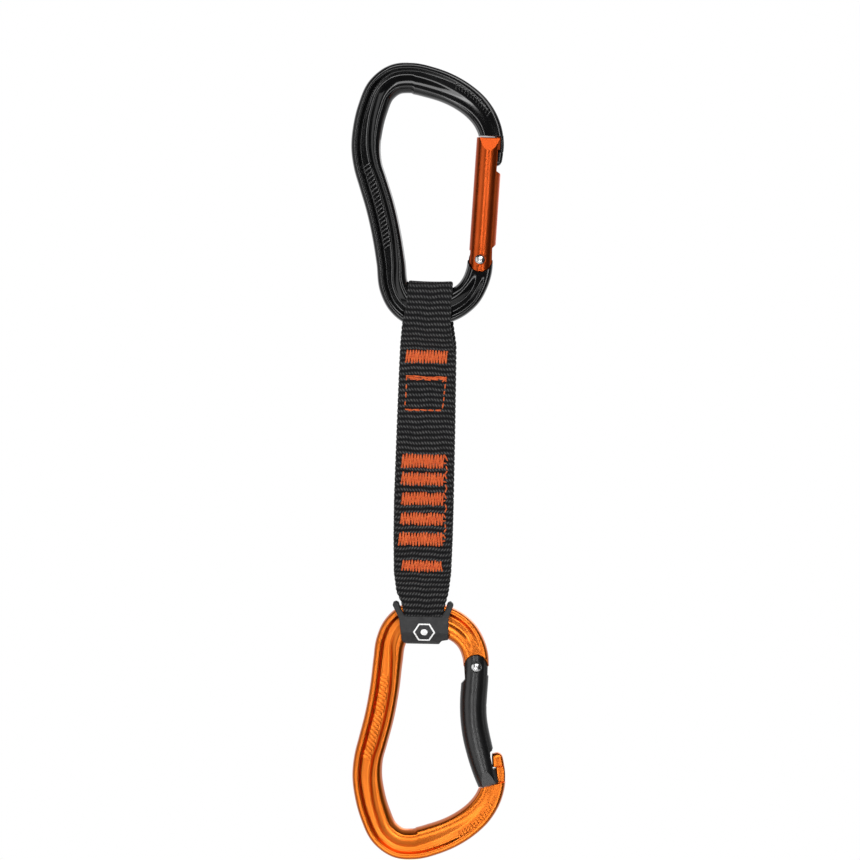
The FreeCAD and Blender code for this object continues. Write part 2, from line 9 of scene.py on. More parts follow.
import bmesh
import bpy
import numpy as np
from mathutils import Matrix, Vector
from mathutils.bvhtree import BVHTree


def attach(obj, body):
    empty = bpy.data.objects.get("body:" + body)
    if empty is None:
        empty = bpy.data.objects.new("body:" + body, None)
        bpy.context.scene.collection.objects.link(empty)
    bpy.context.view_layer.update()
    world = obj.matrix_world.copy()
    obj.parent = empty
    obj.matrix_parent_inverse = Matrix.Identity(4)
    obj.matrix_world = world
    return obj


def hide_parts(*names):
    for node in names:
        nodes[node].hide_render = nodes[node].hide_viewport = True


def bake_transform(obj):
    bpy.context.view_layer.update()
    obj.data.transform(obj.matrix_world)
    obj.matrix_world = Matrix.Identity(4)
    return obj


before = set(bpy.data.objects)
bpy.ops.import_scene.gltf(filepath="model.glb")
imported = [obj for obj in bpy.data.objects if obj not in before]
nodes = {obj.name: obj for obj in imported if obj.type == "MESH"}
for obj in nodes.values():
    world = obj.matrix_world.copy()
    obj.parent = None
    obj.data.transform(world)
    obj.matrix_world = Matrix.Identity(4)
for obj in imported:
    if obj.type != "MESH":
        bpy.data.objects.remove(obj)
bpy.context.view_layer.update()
MM = 0.001

# ---------------------------------------------------------------- sizes shared with the frame
# Differences from the CAD: relief runs on towards the nose, the hinge pocket is smaller and the nose
# head ends a little higher. Rows: centre line x, z, in-plane width, thickness, relief depth, and width
# of the inner rib.
FRAME_STATIONS = [
    (28.1, -53.6, 8.6, 7.6, 0.0, 4.0),
    (28.2, -58.5, 9.4, 7.9, 0.0, 4.0),
    (28.0, -63.0, 9.7, 8.2, 0.0, 4.4),
    (26.6, -67.8, 10.0, 8.3, 0.5, 5.0),
    (24.3, -71.4, 10.6, 8.3, 1.1, 5.4),
    (20.9, -74.3, 11.2, 8.2, 1.2, 5.8),
    (15.4, -77.0, 11.4, 8.2, 1.2, 5.8),
    (9.0, -78.6, 11.3, 8.2, 1.2, 5.8),
    (3.6, -77.6, 11.3, 8.2, 1.2, 5.8),
    (-0.6, -74.2, 11.2, 8.1, 1.2, 5.8),
    (-3.0, -69.6, 11.1, 8.0, 1.3, 5.6),
    (-4.4, -63.0, 11.0, 7.8, 1.4, 4.8),
    (-6.2, -53.0, 11.0, 7.6, 1.5, 4.1),
    (-8.9, -42.0, 11.0, 7.6, 1.5, 4.0),
    (-11.7, -33.4, 10.9, 7.8, 1.5, 4.0),
    (-13.7, -27.2, 10.8, 8.0, 1.5, 4.3),
    (-14.6, -20.6, 11.1, 8.4, 1.5, 4.9),
    (-14.1, -13.6, 11.3, 8.8, 1.5, 5.5),
    (-12.4, -6.0, 11.4, 9.2, 1.5, 6.0),
    (-9.2, 1.1, 11.6, 9.6, 1.4, 6.3),
    (-4.3, 4.9, 11.7, 9.8, 1.3, 6.4),
    (1.8, 5.65, 11.7, 9.8, 1.2, 6.4),
    (8.6, 4.4, 11.7, 9.6, 1.0, 6.2),
    (15.4, 2.2, 11.3, 9.3, 0.6, 5.6),
    (21.3, -0.9, 10.8, 9.0, 0.34, 5.4),
    (26.0, -4.6, 10.3, 8.9, 0.20, 5.2),
    (29.4, -8.9, 9.7, 8.8, 0.08, 4.8),
    (31.4, -13.4, 9.3, 8.7, 0.0, 4.2),
    (32.2, -18.0, 9.1, 8.6, 0.0, 4.0),
    (32.0, -22.0, 9.0, 8.5, 0.0, 4.0),
    (31.2, -27.2, 8.8, 8.4, 0.0, 4.0),
]
BASKET_FROM_Z = -65.0        # stations below this, and the whole hinge leg, take the basket drop
HINGE_LEG_FROM_X = 15.0
HINGE_LEG_BELOW_Z = -50.0
HINGE_SHIFT_ENDS = (-66.0, -60.0)   # the hinge leg's sideways shift grows between these heights
POCKET_RADIUS = 4.65         # clear round the gate's ears
TANG_SKIRT = (5.3, 4.5)      # below the pin the tang fills the pocket: radius, and half width
TANG_RADIUS, TANG_FLAT, TANG_HALF, RIVET_HOLE = 4.2, 3.2, 1.5, 1.60
FLAT_LEAN = 5.0              # degrees, the tang's flat against the plunger axis
NECK_X, NECK_HALF = 33.2, 1.6
HEAD_X, HEAD_TOP, HEAD_END, HEAD_HALF = 32.0, -21.2, -25.9, 3.0
BOLT_DROP, BOLT_SHIFT, BOLT_LEAN = 2.7, 0.5, 2.7
BOLT_PIN = (28.6, -61.2)
ROPE_DROP, ROPE_SHIFT, ROPE_GATE_LEAN = 0.0, 0.0, -6.3
ROPE_PIN = (28.1, -58.5)
BOLT_SHOULDER = ((24.0, -15.35), (38.0, -15.35))
ROPE_SHOULDER = ((26.0, -13.4), (33.9, -14.9))
ROPE_SEAT = (6.87, -273.0)
ROPE_LEAN = math.radians(4.52)


# ---------------------------------------------------------------- small helpers
def smooth(low, high, value):
    """0 below low, 1 above high, with a soft change between them."""
    t = np.clip((np.asarray(value, float) - low) / (high - low), 0, 1)
    return t * t * (3 - 2 * t)


def place_bolt(points):
    """The top carabiner's local frame is already the row frame."""
    return np.asarray(points, float)


def place_rope(points):
    """Turn a carabiner's local points over and lean them into place at the rope end."""
    p = np.asarray(points, float)
    c, s = math.cos(ROPE_LEAN), math.sin(ROPE_LEAN)
    return np.stack([ROPE_SEAT[0] + c * p[..., 0] + s * p[..., 2], -p[..., 1],
                     ROPE_SEAT[1] + s * p[..., 0] - c * p[..., 2]], -1)


class Shell:
    """Vertices and faces of one mesh, gathered part by part."""

    def __init__(self):
        self.points = []
        self.faces = []

    def add(self, points, faces):
        start = len(self.points)
        self.points += [tuple(p) for p in np.asarray(points, float).reshape(-1, 3)]
        self.faces += [tuple(start + i for i in face) for face in faces]

    def grid(self, points, close_rows=False, close_columns=False):
        """Quads over a grid of points, shape (rows, columns, 3)."""
        rows, columns = points.shape[:2]
        faces = []
        for i in range(rows if close_rows else rows - 1):
            for j in range(columns if close_columns else columns - 1):
                a, b = i * columns + j, i * columns + (j + 1) % columns
                below = ((i + 1) % rows) * columns
                faces.append((a, b, below + (j + 1) % columns, below + j))
        self.add(points, faces)

    def tube(self, rings):
        """Closed rings joined into a tube with flat ends, shape (rings, points, 3)."""
        rings = np.asarray(rings, float)
        count, around = rings.shape[:2]
        faces = [(i * around + j, i * around + (j + 1) % around, (i + 1) * around + (j + 1) % around,
                  (i + 1) * around + j) for i in range(count - 1) for j in range(around)]
        faces.append(tuple(range(around)))
        faces.append(tuple((count - 1) * around + j for j in range(around)))
        self.add(rings, faces)

    def object(self, name, material, sharp_angle=35.0):
        """The finished object, in metres, normals outward and shaded smooth."""
        mesh = bpy.data.meshes.new(name)
        mesh.from_pydata([(x * MM, y * MM, z * MM) for x, y, z in self.points], [], self.faces)
        bm = bmesh.new()
        bm.from_mesh(mesh)
        bmesh.ops.recalc_face_normals(bm, faces=bm.faces)
        bm.to_mesh(mesh)
        bm.free()
        mesh.shade_smooth()
        mesh.set_sharp_from_angle(angle=math.radians(sharp_angle))
        made = bpy.data.objects.new(name, mesh)
        bpy.context.scene.collection.objects.link(made)
        mesh.materials.append(material)
        return made


def store_vectors(made, name, vectors):
    """Keep one vector for each vertex on the mesh, for its material to read."""
    attribute = made.data.attributes.new(name, "FLOAT_VECTOR", "POINT")
    attribute.data.foreach_set("vector", np.array(vectors, np.float32).ravel())


def catmull(points, per_span):
    """Smooth line through points, per_span steps between neighbours."""
    p = np.asarray(points, float)
    p = np.vstack([2 * p[0] - p[1], p, 2 * p[-1] - p[-2]])
    out = []
    for k in range(1, len(p) - 2):
        for i in range(per_span):
            t = i / per_span
            out.append(0.5 * (2 * p[k] + (p[k + 1] - p[k - 1]) * t
                              + (2 * p[k - 1] - 5 * p[k] + 4 * p[k + 1] - p[k + 2]) * t * t
                              + (3 * p[k] - p[k - 1] - 3 * p[k + 1] + p[k + 2]) * t ** 3))
    out.append(p[-2])
    return np.array(out)


def even_steps(line, step):
    """The same line with points about step apart, and the distance along it at each."""
    gaps = np.linalg.norm(np.diff(line, axis=0), axis=1)
    run = np.concatenate([[0], np.cumsum(gaps)])
    count = max(2, int(round(run[-1] / step)) + 1)
    s = np.linspace(0, run[-1], count)
    return np.stack([np.interp(s, run, line[:, k]) for k in range(line.shape[1])], -1), s


# ---------------------------------------------------------------- materials
def new_material(name):
    material = bpy.data.materials.new(name)
    material.use_nodes = True
    tree = material.node_tree
    return material, tree, tree.nodes["Principled BSDF"]


def vector_attribute(tree, name):
    """The three sockets of a vector stored on the mesh."""
    stored = tree.nodes.new("ShaderNodeAttribute")
    stored.attribute_name = name
    split = tree.nodes.new("ShaderNodeSeparateXYZ")
    tree.links.new(stored.outputs["Vector"], split.inputs[0])
    return split.outputs


def math_node(tree, operation, first, second=None, third=None):
    """A Math node on sockets or plain numbers; its output socket."""
    made = tree.nodes.new("ShaderNodeMath")
    made.operation = operation
    for slot_input, value in zip(made.inputs, (first, second, third)):
        if value is None:
            continue
        if isinstance(value, (int, float)):
            slot_input.default_value = value
        else:
            tree.links.new(value, slot_input)
    return made.outputs[0]


def ripple(tree, value):
    """Round crowns one unit apart, from 0 in the hollows to 1 on top."""
    return math_node(tree, "ABSOLUTE", math_node(tree, "SINE", math_node(tree, "MULTIPLY", value, math.pi)))


def colour_ramp(tree, factor, stops):
    """Colour by factor. The first two stops are the ramp's ends."""
    ramp = tree.nodes.new("ShaderNodeValToRGB")
    for element, (position, colour) in zip(ramp.color_ramp.elements, stops):
        element.position, element.color = position, (*colour, 1)
    for position, colour in stops[2:]:
        ramp.color_ramp.elements.new(position).color = (*colour, 1)
    tree.links.new(factor, ramp.inputs[0])
    return ramp.outputs[0]


def object_noise(tree, scale, detail=3.0, stretch=(1, 1, 1)):
    """Noise over object space, in cycles per metre."""
    place = tree.nodes.new("ShaderNodeTexCoord")
    mapping = tree.nodes.new("ShaderNodeMapping")
    mapping.inputs["Scale"].default_value = stretch
    tree.links.new(place.outputs["Object"], mapping.inputs["Vector"])
    noise = tree.nodes.new("ShaderNodeTexNoise")
    noise.inputs["Scale"].default_value = scale
    noise.inputs["Detail"].default_value = detail
    tree.links.new(mapping.outputs["Vector"], noise.inputs["Vector"])
    return noise.outputs["Fac"]


def bump(tree, shader, height, distance, strength=1.0):
    """Fine relief on the shader's normal, distance in metres."""
    made = tree.nodes.new("ShaderNodeBump")
    made.inputs["Distance"].default_value = distance
    made.inputs["Strength"].default_value = strength
    tree.links.new(height, made.inputs["Height"])
    tree.links.new(made.outputs["Normal"], shader.inputs["Normal"])


def anodised(name, dark, light, metallic, roughness, specular, grain):
    """Forged and anodised aluminium: faint colour drift, and slight unevenness in its polish."""
    material, tree, shader = new_material(name)
    shader.inputs["Metallic"].default_value = metallic
    shader.inputs["Specular IOR Level"].default_value = specular
    tree.links.new(colour_ramp(tree, object_noise(tree, 90), [(0.35, dark), (0.65, light)]),
                   shader.inputs["Base Color"])
    marks = object_noise(tree, 160, 2.0, (1, 1, 0.25))
    uneven = math_node(tree, "MULTIPLY_ADD", marks, 0.02, roughness - 0.008)
    tree.links.new(uneven, shader.inputs["Roughness"])
    bump(tree, shader, object_noise(tree, 2600, 2.0, (1, 1, 0.15)), 0.000004, grain)
    return material


def steel_material():
    material, tree, shader = new_material("steel")
    shader.inputs["Metallic"].default_value = 1.0
    greys = [(0.3, (0.50, 0.50, 0.50)), (0.7, (0.80, 0.80, 0.79))]
    tree.links.new(colour_ramp(tree, object_noise(tree, 700), greys), shader.inputs["Base Color"])
    uneven = math_node(tree, "MULTIPLY_ADD", object_noise(tree, 1800), 0.2, 0.12)
    tree.links.new(uneven, shader.inputs["Roughness"])
    bump(tree, shader, object_noise(tree, 2500), 0.00002, 0.4)
    return material


YARN_PITCH = 1.10            # millimetres across the tape
YARN_SLANT = 1.15            # yarns that a float crosses from one side of its rib to the other
YARN_STAGGER = 0.37          # yarns that each rib is offset from the one before
RIB_PITCH = 1.97             # millimetres along the tape


def webbing_material():
    """Ribbed tape: painted shade in the hollows between ribs and painted highlights on the crowns, where the
    fine slanted yarn floats, a real weave pattern, are painted brighter as glints.
    """
    material, tree, shader = new_material("webbing")
    across, ribs, _ = vector_attribute(tree, "weave")
    wobble = math_node(tree, "MULTIPLY_ADD", object_noise(tree, 700, 2.0), 0.5, -0.25)
    crown = ripple(tree, ribs)
    row = math_node(tree, "FLOOR", ribs)
    within = math_node(tree, "SUBTRACT", math_node(tree, "FRACT", ribs), 0.5)
    offset = math_node(tree, "MULTIPLY", row, YARN_STAGGER)
    phase = math_node(tree, "ADD", math_node(tree, "DIVIDE", across, YARN_PITCH),
                      math_node(tree, "MULTIPLY_ADD", within, YARN_SLANT, offset))
    phase = math_node(tree, "ADD", phase, wobble)
    yarn = ripple(tree, phase)
    fibres = object_noise(tree, 5200, 3.0)
    patches = object_noise(tree, 330, 3.0)
    # painted light: bright on the rib crowns and yarn floats as highlights, dark in the hollows as shade; the
    # same value also drives the bump
    body = math_node(tree, "MULTIPLY", math_node(tree, "POWER", crown, 2.2),
                     math_node(tree, "MULTIPLY_ADD", math_node(tree, "POWER", yarn, 1.8), 0.90, 0.10))
    shade = math_node(tree, "MULTIPLY", body, math_node(tree, "MULTIPLY_ADD", patches, 1.2, 0.40))
    shade = math_node(tree, "ADD", shade, math_node(tree, "MULTIPLY_ADD", fibres, 0.30, -0.15))
    # greys from painted shade in the rib hollows to painted highlight on the crowns
    greys = [(0.04, (0.0025, 0.0025, 0.003)), (0.85, (0.085, 0.084, 0.084)), (0.40, (0.022, 0.022, 0.023))]
    tree.links.new(colour_ramp(tree, shade, greys), shader.inputs["Base Color"])
    shader.inputs["Roughness"].default_value = 0.85
    shader.inputs["Specular IOR Level"].default_value = 0.25
    shader.inputs["Sheen Weight"].default_value = 0.06
    shader.inputs["Sheen Roughness"].default_value = 0.5
    fuzz = math_node(tree, "MULTIPLY", fibres, 0.2)
    bump(tree, shader, math_node(tree, "ADD", math_node(tree, "MULTIPLY", body, 0.8), fuzz), 0.00030)
    return material


def thread_material():
    """Bonded sewing thread: orange, with twisted plies and painted shade making it darker and redder in the
    hollows between them.
    """
    material, tree, shader = new_material("thread")
    turn, along, _ = vector_attribute(tree, "ply")
    twist = math_node(tree, "ADD", math_node(tree, "MULTIPLY", turn, 3.0),
                      math_node(tree, "MULTIPLY", along, 1.6))
    wave = ripple(tree, twist)
    ply_tone_and_painted_shade = math_node(tree, "ADD", math_node(tree, "MULTIPLY", wave, 0.45),
                     math_node(tree, "MULTIPLY", object_noise(tree, 1100), 0.55))
    # dark red is painted shade in the ply hollows and bright orange is the ply tops; the noise adds random
    # tone
    oranges = [(0.25, (0.32, 0.010, 0.005)), (0.75, (0.74, 0.165, 0.042)), (0.42, (0.66, 0.090, 0.020))]
    tree.links.new(colour_ramp(tree, ply_tone_and_painted_shade, oranges), shader.inputs["Base Color"])
    shader.inputs["Roughness"].default_value = 0.6
    shader.inputs["Specular IOR Level"].default_value = 0.3
    bump(tree, shader, wave, 0.00006, 0.8)
    return material


def rubber_material():
    material, tree, shader = new_material("keeper_rubber")
    greys = [(0.3, (0.018, 0.018, 0.019)), (0.7, (0.032, 0.032, 0.033))]
    tree.links.new(colour_ramp(tree, object_noise(tree, 420, 4.0), greys), shader.inputs["Base Color"])
    uneven = math_node(tree, "MULTIPLY_ADD", object_noise(tree, 1500), 0.25, 0.50)
    tree.links.new(uneven, shader.inputs["Roughness"])
    shader.inputs["Specular IOR Level"].default_value = 0.42
    bump(tree, shader, object_noise(tree, 3200, 4.0), 0.00006, 0.5)
    return material


def print_material():
    material, tree, shader = new_material("white_print")
    whites = [(0.3, (0.88, 0.88, 0.88)), (0.7, (0.96, 0.96, 0.95))]
    tree.links.new(colour_ramp(tree, object_noise(tree, 1500), whites), shader.inputs["Base Color"])
    shader.inputs["Roughness"].default_value = 0.6
    return material


def label_material():
    material, tree, shader = new_material("label")
    threads = object_noise(tree, 1500, 2.0, (1, 1, 0.2))
    greys = [(0.3, (0.075, 0.075, 0.078)), (0.7, (0.13, 0.13, 0.135))]
    tree.links.new(colour_ramp(tree, threads, greys), shader.inputs["Base Color"])
    shader.inputs["Roughness"].default_value = 0.75
    bump(tree, shader, threads, 0.00008, 0.7)
    return material


# name, two ends of the colour drift, metallic, roughness, specular level, grain
BLACK = anodised("frame_black", (0.003, 0.003, 0.0033), (0.006, 0.006, 0.0063), 0.0, 0.11, 0.55, 0.02)
GATE_ORANGE = anodised("gate_orange", (0.60, 0.088, 0.015), (0.68, 0.108, 0.020), 1.0, 0.30, 0.50, 0.08)
AMBER = anodised("frame_amber", (0.75, 0.168, 0.018), (0.82, 0.198, 0.025), 1.0, 0.285, 0.50, 0.02)
GATE_BLACK = anodised("gate_black", (0.003, 0.003, 0.0033), (0.006, 0.006, 0.0063), 0.0, 0.285, 0.75, 0.05)
STEEL = steel_material()
WEBBING = webbing_material()
THREAD = thread_material()
RUBBER = rubber_material()
PRINT = print_material()
LABEL = label_material()


# ---------------------------------------------------------------- forged frames
class BarPath:
    """Smooth bar through the stations; every column is carried along the centre line."""

    def __init__(self, drop, shift):
        rows = []
        low, high = HINGE_SHIFT_ENDS
        for x, z, *rest in FRAME_STATIONS:
            in_leg = x > HINGE_LEG_FROM_X and z < HINGE_LEG_BELOW_Z
            share = min(1.0, max(0.0, (z - low) / (high - low))) if in_leg else 0.0
            rows.append((x + shift * share, z - drop if in_leg or z < BASKET_FROM_Z else z, *rest))
        self.rows = np.array(rows)
        gaps = np.hypot(np.diff(self.rows[:, 0]), np.diff(self.rows[:, 1]))
        self.s = np.concatenate([[0], np.cumsum(gaps)])
        self.length = self.s[-1]
        steps = np.diff(self.rows, axis=0) / gaps[:, None]
        inside = (steps[:-1] * gaps[1:, None] + steps[1:] * gaps[:-1, None]) / (gaps[:-1] + gaps[1:])[:, None]
        self.slopes = np.vstack([steps[:1], inside, steps[-1:]])

    def at(self, s):
        """All station columns at the distances s."""
        s = np.clip(s, 0, self.length)
        i = np.clip(np.searchsorted(self.s, s, side="right") - 1, 0, len(self.s) - 2)
        h = self.s[i + 1] - self.s[i]
        u = ((s - self.s[i]) / h)[..., None]
        h = h[..., None]
        return ((2 * u ** 3 - 3 * u ** 2 + 1) * self.rows[i] + (u ** 3 - 2 * u ** 2 + u) * h * self.slopes[i]
                + (3 * u ** 2 - 2 * u ** 3) * self.rows[i + 1] + (u ** 3 - u ** 2) * h * self.slopes[i + 1])

    def axes(self, s):
        """Centre x, z and the inward direction at s."""
        here = self.at(s)
        step = self.at(np.minimum(s + 0.05, self.length)) - self.at(np.maximum(s - 0.05, 0))
        size = np.hypot(step[..., 0], step[..., 1])
        return here, step[..., 1] / size, -step[..., 0] / size

    def s_near(self, x, z):
        """Distance along the bar of the centre-line point nearest to x, z."""
        grid = np.linspace(0, self.length, 4000)
        here = self.at(grid)
        return grid[np.argmin(np.hypot(here[:, 0] - x, here[:, 1] - z))]


SADDLE = ((-13.0, -8.0), (-6.5, 3.2), (1.8, 5.6), (3.5, 5.4))    # rope saddle: fades in, ends in a small step
DOME = 0.12                  # where there is no channel the faces are gently domed instead
CHANNEL_FOOT = 3.35          # outer edge of the section to the channel's floor


def section_controls(here, saddle):
    """Half section from the outer edge to the inner edge: offsets n inward and half thickness y.

    Its points go over the outer ridge, down to the channel's floor, up the inner rib and round the
    rope side. Heights are shares of the relief or of the half thickness.
    """
    w, half, relief, rib = here[..., 2] / 2, here[..., 3] / 2, here[..., 4], here[..., 5]
    dome = DOME * (1 - smooth(0.0, 1.0, relief))
    ridge = half - dome
    floor = half - 1.15 * relief
    inner = w - 0.35 * saddle
    foot = -w + CHANNEL_FOOT
    rise = np.maximum(inner - rib, foot + 0.9)
    crest = inner - 0.50 * (inner - rise)
    scoop = 1 - 0.14 * saddle
    return [
        (-w, 0 * w), (-w + 0.08, 0.45 * ridge), (-w + 0.36, 0.80 * ridge), (-w + 0.82, 0.96 * ridge),
        (-w + 1.55, ridge), (-w + 2.30, ridge - 0.12 * relief + 0.3 * dome),
        (-w + 2.80, half - 0.74 * relief - 0.5 * dome), (foot, floor - 0.3 * dome),
        ((foot + rise) / 2, floor), (rise, floor + 0.06 * relief),
        (rise + 0.28 * (crest - rise), half - 0.66 * relief),
        (rise + 0.62 * (crest - rise), half - 0.20 * relief), (crest, half - 0.3 * dome),
        (crest + 0.36 * (inner - crest), 0.965 * half - 0.8 * dome),
        (crest + 0.68 * (inner - crest), 0.84 * half * scoop), (inner - 0.42, 0.58 * half * scoop),
        (inner - 0.10, 0.30 * half * scoop), (inner, 0 * w),
    ]


SAMPLES_PER_SPAN = 3


def section_sample(controls, k):
    """Point k of the smooth half section. Both ends meet y = 0 squarely."""
    span, t = divmod(k, SAMPLES_PER_SPAN)
    t /= SAMPLES_PER_SPAN
    last = len(controls) - 1
    if span == last:
        return controls[last]
    before = controls[span - 1] if span else (controls[1][0], -controls[1][1])
    after = controls[span + 2] if span + 2 <= last else (controls[last - 1][0], -controls[last - 1][1])
    out = []
    for a, b, c, d in zip(before, controls[span], controls[span + 1], after):
        out.append(0.5 * (2 * b + (c - a) * t + (2 * a - 5 * b + 4 * c - d) * t * t
                          + (3 * b - a - 3 * c + d) * t ** 3))
    return out


def bar_samples(path, s, k):
    """x, y, z of half-section point k at the distances s."""
    here, in_x, in_z = path.axes(s)
    start, full, stop, end = (path.s_near(*p) for p in SADDLE)
    saddle = smooth(start, full, s) * (1 - smooth(stop, end, s))
    n, y = section_sample(section_controls(here, saddle), k)
    return np.stack([here[..., 0] + n * in_x, y, here[..., 1] + n * in_z], -1)


BAR_RINGS = 290
SECTION_SPANS = 17           # spans between the 18 points of section_controls
END_ZONE = 17.0              # the sweep is fitted to its trimmed ends over this length
EDGE_ROUND = 0.32            # size of the rounding on the rim of each end
STEP_REACH = 1.2             # extra rings this far to each side of the saddle's step


def main_bar(shell, path, pin, shoulder):
    """The forged bar between the hinge pocket and the nose shoulder, with a wall at each end."""
    count = SECTION_SPANS * SAMPLES_PER_SPAN + 1
    (x0, z0), (x1, z1) = shoulder
    near = np.arange(0, END_ZONE, 0.04)
    base = np.linspace(0, path.length, BAR_RINGS)
    step_at = path.s_near(4.2, 5.3)
    extra = np.arange(step_at - STEP_REACH, step_at + STEP_REACH, 0.15)
    rounding = np.array([0, 0.10, 0.34, 0.8])
    base = np.unique(np.concatenate([base, extra, rounding, path.length - rounding]))
    rim = np.array([1.0, 0.28, 0.0])
    columns = []
    for k in range(count):
        first = bar_samples(path, near, k)
        from_pin = np.hypot(first[:, 0] - pin[0], first[:, 2] - pin[1])
        inside = (from_pin < POCKET_RADIUS) | (first[:, 2] > pin[1])
        start = near[np.nonzero(inside)[0][-1]] if inside.any() else 0.0
        last = bar_samples(path, path.length - near, k)
        below = last[:, 2] < z0 + (last[:, 0] - x0) * (z1 - z0) / (x1 - x0)
        end = path.length - near[np.nonzero(below)[0][-1]]
        s = base.copy()
        head = s < END_ZONE
        s[head] = start + s[head] * (END_ZONE - start) / END_ZONE
        tail = base > path.length - END_ZONE
        left = path.length - base[tail]
        s[tail] = end - left * (END_ZONE - (path.length - end)) / END_ZONE
        line = bar_samples(path, s, k)
        here, in_x, in_z = path.axes(s)
        inset = np.zeros(len(s))
        inset[:3] = rim * EDGE_ROUND
        inset[-3:] = rim[::-1] * EDGE_ROUND
        line[:, 1] *= 1 - inset / (here[:, 3] / 2)
        shift_x, shift_z = line[:, 0] - here[:, 0], line[:, 2] - here[:, 1]
        line[:, 0] -= shift_x * inset / (here[:, 2] / 2)
        line[:, 2] -= shift_z * inset / (here[:, 2] / 2)
        columns.append(line)
    upper = np.stack(columns, 1)
    lower = upper[:, -2:0:-1].copy()
    lower[..., 1] *= -1
    rings = np.concatenate([upper, lower], 1)
    shell.grid(rings, close_columns=True)
    around = rings.shape[1]
    offset = len(shell.points) - rings.shape[0] * around
    for row in (0, rings.shape[0] - 1):      # the end walls: strips from the upper half to the lower
        first = offset + row * around
        pairs = [(first, first)] + [(first + k, first + around - k) for k in range(1, count - 1)]
        pairs.append((first + count - 1, first + count - 1))
        for (a, b), (c, d) in zip(pairs, pairs[1:]):
            shell.faces.append(tuple(dict.fromkeys((a, c, d, b))))


def tang(shell, pin, lean):
    """Thin plate between the gate's ears, with the rivet hole and the flat under the plunger."""
    turns = np.radians(np.arange(0, 360, 5))
    normal = math.radians(90 - lean - FLAT_LEAN)
    outer = np.full(len(turns), TANG_RADIUS)
    towards = np.cos(turns - normal)
    outer = np.where(towards > 0.4, np.minimum(outer, TANG_FLAT / np.maximum(towards, 0.4)), outer)
    skirt, side = TANG_SKIRT
    below = np.minimum(skirt, side / np.maximum(np.abs(np.cos(turns)), 0.5))
    outer = np.where(np.sin(turns) < 0, below, outer)
    bevel = 0.15
    hole = np.full(len(turns), RIVET_HOLE)
    levels = ((hole + bevel, -TANG_HALF), (outer - bevel, -TANG_HALF), (outer, -TANG_HALF + bevel),
              (outer, TANG_HALF - bevel), (outer - bevel, TANG_HALF), (hole + bevel, TANG_HALF),
              (hole, TANG_HALF - bevel), (hole, -TANG_HALF + bevel))
    rings = [np.stack([pin[0] + r * np.cos(turns), np.full(len(turns), y), pin[1] + r * np.sin(turns)], -1)
             for r, y in levels]
    shell.grid(np.array(rings), close_rows=True, close_columns=True)


NOSE_START = (31.4, -11.5)   # the neck starts here, inside the bar
HEAD_RAMP = (0.55, 0.05)     # the neck widens to the head between these heights above HEAD_TOP
TIP_ROUND = 2.2              # length of the rounded tip
NOSE_POWER = 0.36            # below 1 the section is a rectangle with rounded corners


def nose(shell, path):
    """Keylock nose: a thin neck down the outer side and a wider, rounded head at its tip."""
    start = path.s_near(*NOSE_START)
    s = np.linspace(start, path.length - 0.2, 90)
    rings = []
    turns = np.radians(np.arange(0, 360, 10))
    for value in s:
        here, in_x, in_z = (np.atleast_1d(a)[0] for a in path.axes(np.array([value])))
        z = here[1]
        if z < HEAD_END:
            break
        head = float(smooth(HEAD_TOP + HEAD_RAMP[0], HEAD_TOP + HEAD_RAMP[1], z))
        inner_x = NECK_X + (HEAD_X - NECK_X) * head
        half = NECK_HALF + (HEAD_HALF - NECK_HALF) * head
        tip = float(np.clip((z - HEAD_END) / TIP_ROUND, 0, 1))
        close = math.sqrt(max(1 - (1 - tip) ** 2, 0.0))
        n_out = -here[2] / 2 + 0.15
        n_in = (inner_x - here[0]) / in_x
        reach = (n_in - n_out) / 2 * (0.35 + 0.65 * close)
        half *= 0.45 + 0.55 * close
        middle = n_in - reach - 0.35 * (1 - close)
        c, w = np.cos(turns), np.sin(turns)
        n = middle + reach * np.sign(c) * np.abs(c) ** NOSE_POWER
        y = half * np.sign(w) * np.abs(w) ** NOSE_POWER
        rings.append(np.stack([here[0] + n * in_x, y, here[1] + n * in_z], -1))
    shell.tube(rings)


TICK_SLANT = 0.3             # every tick leans the same way, like hatching
SPINE_TICKS = ((-5.4, -57.0), (-13.6, -27.0), 21)     # first place, last place, how many
NOSE_TICKS = ((17.5, 1.2), (29.0, -8.2), 13)


def tick(shell, path, s, n, length, width, height, sunk):
    """One raised bar with sloping sides on each face, n inward of the centre line, sunk in the relief."""
    here, in_x, in_z = (np.atleast_1d(a)[0] for a in path.axes(np.array([s])))
    along = np.array([-in_z, in_x])
    inward = np.array([in_x, in_z])
    for side in (-1, 1):
        rings = []
        for shrink, level in ((1.0, -0.15), (1.0, height * 0.35), (0.25, height)):
            ring = []
            for a, b in ((-1, -1), (1, -1), (1, 1), (-1, 1)):
                reach = length / 2 * (1 - (1 - shrink) * width / length)
                off_n, off_s = a * reach, b * width / 2 * shrink + TICK_SLANT * a * reach
                p = here[:2] + inward * (n + off_n) + along * off_s
                ring.append((p[0], side * (here[3] / 2 - sunk * here[4] + level), p[1]))
            rings.append(ring)
        shell.tube(rings)


def tick_marks(shell, path):
    """Plain raised tick marks in the spine's channel and beside the nose."""
    first, last, count = SPINE_TICKS
    for i, s in enumerate(np.linspace(path.s_near(*first), path.s_near(*last), count)):
        here = path.at(np.array([s]))[0]
        channel_middle = (3.1 - here[5]) / 2
        tick(shell, path, s, channel_middle, 3.2 if i % 3 else 2.4, 1.0, 0.26, 1.0)
    first, last, count = NOSE_TICKS
    for i, s in enumerate(np.linspace(path.s_near(*first), path.s_near(*last), count)):
        tick(shell, path, s, -1.9, 1.7 if i % 4 else 2.3, 0.75, 0.17, 0.6)


